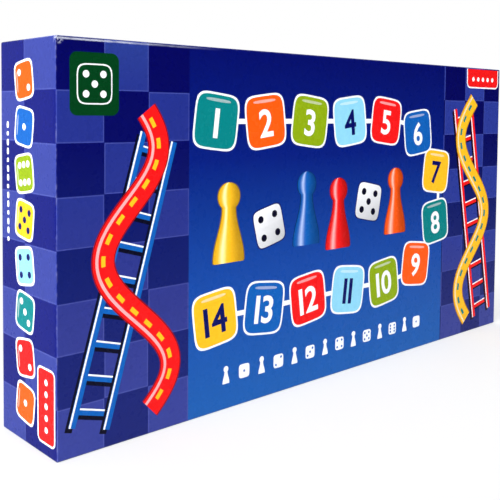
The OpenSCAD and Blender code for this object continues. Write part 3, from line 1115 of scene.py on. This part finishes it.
# a snake: a sine wave that dies away at both ends, carried along the line from its tail to its head,
# with a body that thickens from the tail, crossed by bands
def drawSnake(art, start, end, waves, sway, ink, band, layer, scale=1.0):
    t = np.linspace(0.0, 1.0, 110)
    line = end - start
    across = np.array((-line[1], line[0])) / np.linalg.norm(line)
    wave = sway * np.sin(2 * math.pi * waves * t) * np.sin(math.pi * t) ** 0.6
    path = start + t[:, None] * line + wave[:, None] * across
    half = snake["half"] * scale * np.minimum(1.0, 0.12 + t / 0.4)
    rim = snake["rim"] * scale
    art.band(path, half + rim, "black", layer)
    art.band(path, half, ink, layer + 1)
    far = pathLength(path)
    pitch, length = (part * scale for part in snake["band"])
    for middle in np.arange(pitch, far[-1] - 1.2 * pitch, pitch):
        stripe = partOf(path, middle - length / 2, middle + length / 2, 5)
        art.band(stripe, np.interp(middle, far, half), band, layer + 2)
    way = (path[-1] - path[-6]) / np.linalg.norm(path[-1] - path[-6])
    turn = math.degrees(math.atan2(way[1], way[0]))
    near, tip, thick = (part * scale for part in snake["tongue"])
    art.band(np.linspace(end + way * near, end + way * tip, 4), thick, "crimson", layer + 1)
    head = np.array(snake["head"]) * scale
    art.blob(end, head + rim, "black", layer + 3, snake["headPower"], turn)
    art.blob(end, head, ink, layer + 4, snake["headPower"], turn)
    ahead, aside, white, black = (part * scale for part in snake["eye"])
    for eye in turned(((ahead, -aside), (ahead, aside)), turn, end):
        art.blob(eye, white, "white", layer + 5, number=20)
        art.blob(eye, black, "black", layer + 6, number=14)


def printBoard():
    art = FoldedArt()
    tall, corner = board["numberTall"], board["cell"] / 2 - board["numberInset"]
    for number in range(1, 101):
        wide = board["digitsWide"][len(str(number)) - 1] * tall
        spot = squareMiddle(number) + (wide - corner, corner - tall / 2)
        art.add(numberPatch(number, tall, spot), "navy", 0)
    gap, rail, pitch = board["ladder"]
    for foot, head in board["ladders"]:
        start, end = squareMiddle(foot), squareMiddle(head)
        rungs = int(np.linalg.norm(end - start) / pitch)
        drawLadder(art, start, end, gap, rail, rungs, "amber", "yellow", 1, board["shadow"])
    for head, tail, *wave, ink, band in board["snakes"]:
        drawSnake(art, squareMiddle(tail), squareMiddle(head), *wave, ink, band, 8)
    top = foreHigh[2] + board["fold"]
    halves = (
        (art.near, "rear", lambda u, v, h: (rearHigh[0] - u, rearHigh[1] + h, rearLow[2] + v)),
        (art.far, "front", lambda u, v, h: (foreHigh[0] - u, foreLow[1] - h, top - v)),
    )
    for half, name, place in halves:
        half.piece(name + "BoardPrint", place, "case_" + name, "playing_panel", boardInk)


# plywood: veneer grain along the panel on its faces, and alternate dark and pale layers on its edges
def plyWood(look, spot, y, low, high, layer, skin):
    grain = look.noise(spot, (14.0, 300.0, 420.0), 5.0)
    stops = ((0.3, tint(214, 180, 132)), (0.55, tint(230, 202, 158)), (0.75, tint(238, 214, 172)))
    face = look.ramp(grain, *stops)
    streak = look.noise(spot, (900.0, 60.0, 900.0), 3.0)
    edge = look.mix(((y - low) / layer).floor() % 2.0, tint(206, 168, 118), tint(150, 108, 66))
    edge = look.mix(streak * 0.35, edge, tint(120, 84, 50))
    onFaces = (abs(y - low) < skin).most(abs(y - high) < skin)
    return look.mix(onFaces, edge, face), face, grain


# distance of a value from the nearer end of its cell
def cellGap(value, cell):
    part = value % cell
    return part.least(cell - part)


# ten rows of squares on the outer face, five on each half, with plywood edges and a bare inner face
def playPanel(name, low, high, outer, far):
    look = Finish(name)
    spot, x, y, z = look.place()
    low, high, cell, margin = low.tolist(), high.tolist(), board["cell"], board["margin"]
    across = high[0] - x
    up = high[2] + board["fold"] - z if far else z - low[2]
    column, row = across - margin, up - margin
    choice = ((column / cell).floor() * 2.0 + (row / cell).floor() * 3.0) % 5.0
    colour = board["squares"][0]
    for k, square in enumerate(board["squares"][1:]):
        colour = look.mix(choice > k + 0.5, colour, square)
    gap = cellGap(column, cell).least(cellGap(row, cell))
    colour = look.mix(gap < board["ruleHalf"], colour, board["rule"])
    end = margin + 10 * cell
    inside = (across > margin) * (across < end) * (up > margin) * (up < end)
    frameGap = column.least(end - across).least(row.least(end - up))
    away, half, share = board["frameRule"]
    border = look.mix((abs(frameGap + away) < half) * share, board["border"], board["rule"])
    colour = look.mix(inside, border, colour)
    wood, face, grain = plyWood(look, spot, y, low[1], high[1], 1.0, board["skin"])
    pores = look.rise(look.noise(spot, (60.0, 900.0, 1300.0), 3.0), 0.62, 0.74)
    printed = look.mix(0.16, colour, face, "MULTIPLY")
    printed = look.mix(pores * 0.18, printed, tint(150, 110, 70))
    onOuter = abs(y - float(outer)) < board["skin"]
    roughness = 0.62 - onOuter * 0.22 + grain * 0.1
    return look.close(look.mix(onOuter, wood, printed), roughness, grain * 0.03 - pores * 0.03)


# the insert is bare plywood of thicker layers
def insertWood():
    low, high = nodeBox("piece_insert")
    look = Finish("insertPlywood")
    spot, x, y, z = look.place()
    wood, face, grain = plyWood(look, spot, y, float(low[1]), float(high[1]), 1.5, 0.1)
    return look.close(wood, 0.66 + grain * 0.1, grain * 0.04)


# beech: faint year rings round a far-off pith, and short dark flecks along the grain
def beech(name, along):
    look = Finish(name)
    spot, x, y, z = look.place()
    wander = look.noise(spot, tuple(9.0 if k == along else 130.0 for k in range(3)), 3.0)
    flecks = look.noise(spot, tuple(70.0 if k == along else 1100.0 for k in range(3)))
    flecks = look.rise(flecks, 0.56, 0.66)
    side = z if along == 0 else x
    rings = ((y * 0.8 + side * 0.35 + wander * 9.0) / 2.6) % 1.0
    colour = look.mix(rings * 0.55, tint(222, 182, 134), tint(202, 156, 108))
    colour = look.mix(look.rise(wander, 0.3, 0.7) * 0.4, colour, tint(232, 198, 152))
    colour = look.mix(flecks * 0.5, colour, tint(158, 110, 70))
    oiled = {"Coat Weight": 0.15, "Coat Roughness": 0.3}
    return look.close(colour, 0.44 + wander * 0.12, wander * 0.03 - flecks * 0.015, oiled)


# brushed along the hinge, with dull spots
def brass():
    look = Finish("hingeBrass")
    spot = look.spot()
    brushed = look.noise(spot, (60.0, 2400.0, 2400.0), 3.0)
    spots = look.rise(look.noise(spot, 160.0, 4.0), 0.55, 0.75)
    colour = look.shades(brushed, tint(196, 154, 78), tint(222, 184, 104))
    colour = look.mix(spots * 0.35, colour, tint(150, 106, 52))
    return look.close(colour, 0.26 + brushed * 0.14 + spots * 0.12, brushed * 0.006, {"Metallic": 1.0})


# a faint cloud between two colours, that shows in the gloss and the surface too
def clouded(name, scale, dark, pale, rough, spread, height, fixed=None):
    look = Finish(name)
    cloud = look.noise(look.spot(), scale, 3.0)
    return look.close(look.shades(cloud, dark, pale), rough + cloud * spread, cloud * height, fixed)


slotOf = {part["node"]: part["material_slot"] for part in frame["record"]["subparts"]}


def dress(material, *names):
    for name in names:
        cadNodes[name].data.materials.clear()
        cadNodes[name].data.materials.append(material)


def dressCase():
    longGrain, uprightGrain = beech("beechAlong", 0), beech("beechUpright", 2)
    for half in ("rear", "front"):
        dress(longGrain, half + "_spine_rail", half + "_catch_rail")
        dress(uprightGrain, half + "_left_rail", half + "_right_rail")
    dress(playPanel("rearBoard", rearLow, rearHigh, rearHigh[1], False), "rear_panel")
    dress(playPanel("frontBoard", foreLow, foreHigh, foreLow[1], True), "front_panel")
    dress(insertWood(), "piece_insert")
    dress(brass(), *(node for node, slot in slotOf.items() if slot == "hinge_brass"))
    greys = tint(188, 190, 194), tint(214, 216, 220)
    plating = clouded("magnetPlating", 500.0, *greys, 0.2, 0.16, 0.004, {"Metallic": 1.0})
    dress(plating, "rear_magnets", "front_magnets")


dressCase()
printBoard()
print("playing case dressed")


# Pawns and dice

lacquers = {
    "orange": tint(250, 132, 22),
    "blue": tint(20, 92, 196),
    "red": tint(214, 18, 22),
    "yellow": tint(252, 204, 34),
}


# gloss paint on turned wood: faint lathe rings and grain show through it
def lacquer(name, colour):
    look = Finish(name)
    spot = look.spot()
    rings = look.noise(spot, (30.0, 30.0, 900.0), 3.0)
    grain = look.noise(spot, (260.0, 260.0, 40.0), 3.0)
    deep = tuple(0.72 * part for part in colour)
    paint = look.mix(look.rise(grain, 0.35, 0.75) * 0.3, colour, deep)
    gloss = {"Coat Weight": 0.5, "Coat Roughness": 0.08}
    return look.close(paint, 0.2 + rings * 0.08, rings * 0.03 + grain * 0.02, gloss)


# a profile turned round an upright axis, closed by a point at its foot and at its top
def makePawn(colour):
    node = "pawn_" + colour
    low, high = nodeBox(node)
    radius, height = (np.append(0.0, part)[:, None] for part in pawnProfile(40))
    angle = fullTurn(72)
    turn = np.stack(np.broadcast_arrays(radius * np.cos(angle), radius * np.sin(angle), height), -1)
    points = turn.reshape(-1, 3) + (*(low + high)[:2] / 2, low[2])
    faces = gridQuads(len(radius), len(angle), ring=True)
    paint = lacquer(colour + "Lacquer", lacquers[colour])
    body, slot = colour + "_pawn", colour + "_lacquer"
    meshPiece(colour + "Pawn", points, faces, body, slot, paint, (node,), weld=0.001, sharp=50)


die = {
    "edge": 14.0,
    "ball": 0.69,  # radius of the ball that rounds the cube, as a share of its edge
    "soften": 2.2,
    "pip": 1.2,
    "sink": 0.4,
    "bowl": (1.04, 1.12),  # how much wider and deeper the hollow is than its paint
    "paint": 0.01,
    "paintLift": 0.005,
    "step": 0.24,
    "gridPoints": 57,
}


# a face that looks up, turned about X and then about Y
def faceTurn(aboutX, aboutY):
    tilt = Matrix.Rotation(math.radians(aboutX), 3, "X")
    swing = Matrix.Rotation(math.radians(aboutY), 3, "Y")
    return np.array(swing @ tilt)


faceTurns = [faceTurn(*angles) for angles in ((0, 0), (90, 0), (0, 90), (0, -90), (-90, 0), (180, 0))]


# depth of a die's face below its plane: a shallow bowl at each pip
def pipDepth(x, y, spots, radius, sink):
    away = (x[..., None] - spots[:, 0]) ** 2 + (y[..., None] - spots[:, 1]) ** 2
    return sink * np.maximum(1.0 - away.min(-1) / radius**2, 0.0)


# distance from the middle along a direction: the lesser of a cube's and a ball's, blended softly
def dieReach(way):
    half, k = die["edge"] / 2, die["soften"]
    cube = half / np.abs(way).max(-1)
    ball = die["edge"] * die["ball"]
    return half - np.log(np.exp(-k * (cube - half)) + np.exp(-k * (ball - half))) / k


# six turned grids with hollows, and in each hollow a thin bowl of paint
def makeDie(node, body, name, pipName):
    low, high = nodeBox(node)
    middle, half, pip, sink = (low + high) / 2, die["edge"] / 2, die["pip"], die["sink"]
    t = np.tan(np.linspace(-math.pi / 4, math.pi / 4, die["gridPoints"]))
    s, u = np.meshgrid(t, t, indexing="ij")
    way = np.stack((s, u, np.ones_like(s)), -1)
    way /= np.linalg.norm(way, axis=-1)[..., None]
    reach = dieReach(way)
    face = way * (reach * half / reach[s.shape[0] // 2, s.shape[1] // 2])[..., None]
    points, faces, bowls, bowlFaces, count = [], [], [], [], 0
    ring, angle = np.linspace(0.0, 1.0, 6), fullTurn(28)
    wider, deeper = die["bowl"]
    for number, turn in enumerate(faceTurns, 1):
        spots = pipSpots(number) * die["step"] * die["edge"]
        sunk = face.copy()
        sunk[..., 2] -= pipDepth(face[..., 0], face[..., 1], spots, pip * wider, sink * deeper)
        faces.append(gridQuads(*s.shape, first=len(points) * s.size))
        points.append(sunk.reshape(-1, 3) @ turn.T + middle)
        for spot in spots:
            x = spot[0] + pip * np.outer(ring, np.cos(angle))
            y = spot[1] + pip * np.outer(ring, np.sin(angle))
            z = half - pipDepth(x, y, spots, pip, sink) - die["paintLift"]
            bowlFaces.append(gridQuads(len(ring), len(angle), ring=True, first=count))
            bowls.append(np.stack((x, y, z), -1).reshape(-1, 3) @ turn.T + middle)
            count += x.size
    cube, hollows = (np.vstack(points), np.vstack(faces)), (np.vstack(bowls), np.vstack(bowlFaces))
    meshPiece(name, *cube, body, "die_plastic", diePlastic, (node,), weld=0.001, sharp=60)
    paint = meshPiece(pipName, *hollows, body, "die_plastic", pipPaint, weld=0.001, sharp=60)
    thicken(paint, "paint", die["paint"], -1.0)


whites, blacks = (tint(232, 230, 222), tint(244, 243, 238)), (tint(14, 14, 18), tint(30, 30, 36))
polish = {"Coat Weight": 0.3, "Coat Roughness": 0.06}
diePlastic = clouded("diePlastic", 120.0, *whites, 0.16, 0.1, 0.01, polish)
pipPaint = clouded("pipPaint", 900.0, *blacks, 0.3, 0.15, 0.01)
for colour in lacquers:
    makePawn(colour)
makeDie("die_one", "first_die", "firstDie", "firstDiePips")
makeDie("die_two", "second_die", "secondDie", "secondDiePips")
print("pawns and dice made")


# Rules leaflet

leaflet = {
    "leaves": 4,
    "paper": 0.1,
    "room": 0.05,
    "sideRoom": 0.1,
    "columns": 9,
    "squares": ((-55.5, 14.5), 7.0, 6, 0.3),  # corner, cell, number along a side and gap
    "lines": (2.0, 20.0, 7.0, 9),  # start, foot, pitch and number of the printed lines
    "lineSizes": (48.0, 30.0, 0.6),  # length of a long and a short line, and their half width
    "pawns": ((-46.0, 64.0, 20.0, "red"), (-32.0, 64.0, 20.0, "blue")),
    "dice": ((-14.0, 72.0, 12.0, 8.0, 3),),
    "printRoom": 0.045,
}


# thin uncoated paper with a slow wave
def leafletPaper():
    look = Finish("leafletPaper")
    spot = look.spot()
    fibre = look.noise(spot, 1400.0, 3.0)
    colour = look.shades(fibre, tint(226, 223, 212), tint(240, 238, 230))
    return look.close(colour, 0.8, fibre * 0.01 + look.noise(spot, 30.0, 1.0) * 0.1)


# one sheet folded to and fro: upright runs joined by half circles, carried along the leaflet's width
def makeLeaflet():
    low, high = nodeBox("rules_leaflet")
    leaves, paper, room = leaflet["leaves"], leaflet["paper"], leaflet["room"]
    pitch = (high[1] - low[1] - 2 * room - paper) / (leaves - 1)
    bend = np.linspace(-math.pi / 2, math.pi / 2, 9)
    run = np.linspace(0.0, 1.0, 12)
    foot, head = low[2] + pitch, high[2] - pitch
    y, z = [], []
    for leaf in range(leaves):
        level = low[1] + room + paper / 2 + leaf * pitch
        rising = leaf % 2 == 0
        y.append(np.full(len(run), level))
        z.append(foot + (head - foot) * (run if rising else 1 - run))
        if leaf < leaves - 1:
            y.append(level + pitch / 2 + pitch / 2 * np.sin(bend))
            z.append((head if rising else foot) + (1 if rising else -1) * pitch / 2 * np.cos(bend))
    y, z = np.concatenate(y)[:, None], np.concatenate(z)[:, None]
    x = np.linspace(low[0] + leaflet["sideRoom"], high[0] - leaflet["sideRoom"], leaflet["columns"])
    points = np.stack(np.broadcast_arrays(x, y, z), -1).reshape(-1, 3)
    sheet = points, gridQuads(len(y), len(x)), "leaflet", "leaflet_paper", leafletPaper()
    made = meshPiece("rulesLeaflet", *sheet, ("rules_leaflet",), weld=0.001)
    thicken(made, "paper", paper, 0.0)


# a small board, pawns and a die beside lines that stand for the rules
def printLeaflet():
    low = nodeBox("rules_leaflet")[0]
    face = low[1] + leaflet["room"]
    art = Artwork()
    drawSquares(art, *leaflet["squares"], tileOrder, 0)
    x, foot, pitch, number = leaflet["lines"]
    long, short, half = leaflet["lineSizes"]
    for row in range(number):
        z = foot + row * pitch
        art.band(np.linspace((x, z), (x + (long if row % 4 < 3 else short), z), 4), half, "navy", 0)
    drawPieces(art, leaflet, 0)

    def onLeaflet(u, v, h):
        return u, face - np.minimum(h, leaflet["printRoom"]), low[2] + v

    art.piece("leafletPrint", onLeaflet, "leaflet", "leaflet_paper", boardInk)


makeLeaflet()
printLeaflet()
print("leaflet made")


# Back of the box

backPrint = {
    "board": 96.0,
    "middle": (-62.0, 76.0),
    "cells": 10,
    "cellGap": 0.25,
    "sheet": 4.0,  # width and rounding of the white border
    "ladders": (  # foot, head, gap, rail, rungs and ink
        ((14.0, 10.0), (30.0, 62.0), 7.0, 1.5, 7, "blue"),
        ((66.0, 34.0), (82.0, 88.0), 7.0, 1.5, 7, "red"),
    ),
    "shadow": (-0.5, -0.4),
    "snakes": (((44.0, 86.0), (50.0, 34.0), "green", "lime"), ((86.0, 30.0), (54.0, 8.0), "red", "yellow")),
    "snakeWave": (1.5, 4.5),
    "snakeScale": 0.62,
    "pawns": (
        (32.0, 34.0, 44.0, "red"),
        (56.0, 34.0, 44.0, "yellow"),
        (80.0, 34.0, 44.0, "blue"),
        (104.0, 34.0, 44.0, "orange"),
    ),
    "dice": ((48.0, 104.0, 20.0, 12.0, 6), (84.0, 108.0, 20.0, -9.0, 3)),
    "dashes": (24.0, 20.0, 5.2, 17, (1.5, 1.0)),  # first, height, pitch, number and half size
}


def printBack():
    art = Artwork()
    size, cells, grow = backPrint["board"], backPrint["cells"], backPrint["sheet"]
    corner = np.array(backPrint["middle"]) - size / 2
    art.add(fanPatch(tabOutline(corner - grow, corner + size + grow, grow)), "white", 0)
    drawSquares(art, corner, size / cells, cells, backPrint["cellGap"], board["squares"], 1)
    for foot, head, *shape in backPrint["ladders"]:
        drawLadder(art, corner + foot, corner + head, *shape, "white", 2, backPrint["shadow"])
    for head, tail, ink, band in backPrint["snakes"]:
        ends, wave = (corner + tail, corner + head), backPrint["snakeWave"]
        drawSnake(art, *ends, *wave, ink, band, 4, backPrint["snakeScale"])
    drawPieces(art, backPrint, 1)
    x, z, pitch, number, half = backPrint["dashes"]
    for k in range(number):
        art.blob((x + k * pitch, z), half, "white", 1, 3.0, number=20)

    def onBack(u, v, h):
        return -u, backY - panelDrop(-u, v, baseLow, baseHigh) + h, v

    art.piece("baseBackPrint", onBack, "base", "base_paper", coverInk)


printBack()
print("back printed")


# Studio

studio = {
    "cameraAt": (-0.28125, -0.27234, 0.12594),
    "yaw": 42.176,
    "pitch": -2.746,
    "roll": 0.481,
    "lens": 56.89,
    "shiftY": -0.2,
    "worldDiffuse": 0.5,
    "behindCamera": 0.03,
    "behindBox": 0.5,  # brightness of the surroundings in reflections
    "overhead": 0.9,
    "lamps": (
        ("keyLamp", (-1.6, -0.45, 0.9), 1.1, 38.0),
        ("fillLamp", (-0.7, -1.5, 1.5), 1.3, 12.5),
        ("backLamp", (0.8, 1.5, 1.3), 1.4, 16.0),
    ),
    "lampAim": (0.0, 0.0, 0.06),
    "floorReach": 3000.0,
    "floorDrop": 0.03,
    "floorShade": (0.9, 0.9, 0.9),
    "boxHalf": (146.0, 22.0),
    "fade": (0.0, 150.0),
    "paleShare": 0.45,  # how white the floor is where the box stands on it
    "frontFade": (40.0, 360.0),  # where reflections of the floor in front of the box die away
}


def makeCamera():
    yaw, pitch, roll = (math.radians(studio[key]) for key in ("yaw", "pitch", "roll"))
    ahead = Vector((math.sin(yaw) * math.cos(pitch), math.cos(yaw) * math.cos(pitch), math.sin(pitch)))
    right = Vector((math.cos(yaw), -math.sin(yaw), 0.0))
    up = right.cross(ahead)
    tilted = right * math.cos(roll) + up * math.sin(roll)
    upright = up * math.cos(roll) - right * math.sin(roll)
    data = bpy.data.cameras.new("camera")
    data.lens = studio["lens"]
    data.sensor_width = 36.0
    data.shift_y = studio["shiftY"]
    data.clip_start = 0.01
    camera = addObject("camera", data)
    turn = Matrix((tilted, upright, -ahead)).transposed().to_4x4()
    camera.matrix_world = Matrix.Translation(studio["cameraAt"]) @ turn
    bpy.context.scene.camera = camera


def makeLamps():
    for name, at, size, power in studio["lamps"]:
        data = bpy.data.lights.new(name, "AREA")
        data.shape = "DISK"
        data.size = size
        data.energy = power
        aim = (Vector(studio["lampAim"]) - Vector(at)).to_track_quat("-Z", "Y")
        lamp = addObject(name, data)
        lamp.matrix_world = Matrix.Translation(at) @ aim.to_matrix().to_4x4()


# white to the camera and in reflections of what lies behind the box, dim behind the camera
def makeWorld():
    world = bpy.data.worlds.new("studio")
    world.use_nodes = True
    bpy.context.scene.world = world
    look = Finish("studio", world.node_tree)
    glossy, seen = look.rays()
    ahead, up = look.split(look.node("TexCoord", out="Generated"))[1:]
    dim = studio["behindCamera"]
    shine = look.rise(ahead, -0.15, 0.45) * (studio["behindBox"] - dim) + dim
    shine = shine.most(look.rise(up, 0.35, 0.75) * studio["overhead"])
    strength = glossy * shine + seen + (1 - glossy.most(seen)) * studio["worldDiffuse"]
    ground = look.node("Background", sockets={"Color": (1.0, 1.0, 1.0), "Strength": strength})
    look.node("OutputWorld", sockets={"Surface": ground})


# a flat square that takes the box's shadow near it and turns to plain white further off
def makeFloor():
    t = np.linspace(-studio["floorReach"], studio["floorReach"], 3)
    x, y = np.meshgrid(t, t, indexing="ij")
    points = np.stack((x, y, np.full(x.shape, -studio["floorDrop"])), -1).reshape(-1, 3)
    mesh = bpy.data.meshes.new("floor")
    mesh.from_pydata((points * mm).tolist(), [], gridQuads(3, 3).tolist())
    look = Finish("floor")
    spot, x, y, z = look.place()
    halfX, halfY = studio["boxHalf"]
    away = (abs(x) - halfX).most(0.0) + (abs(y) - halfY).most(0.0)
    glossy, seen = look.rays()
    pale = studio["paleShare"]
    share = (look.rise(away, *studio["fade"]) * (1 - pale) + pale) * seen

    def glow(strength):
        return look.node("Emission", sockets={"Color": (1.0, 1.0, 1.0), "Strength": strength})

    def blend(factor, first, second):
        return look.node("MixShader", sockets={0: factor, 1: first, 2: second})

    matt = look.node("BsdfDiffuse", sockets={"Color": studio["floorShade"]})
    ahead = look.rise(y * -1.0, *studio["frontFade"])
    mirrored = blend(ahead, glow(studio["behindBox"]), glow(studio["behindCamera"]))
    shader = blend(glossy, blend(share, matt, glow(1.0)), mirrored)
    look.node("OutputMaterial", sockets={"Surface": shader})
    mesh.materials.append(look.material)
    floor = addObject("floor", mesh)


makeCamera()
makeLamps()
makeWorld()
makeFloor()
bpy.context.scene.view_settings.view_transform = "Standard"
print("studio made")
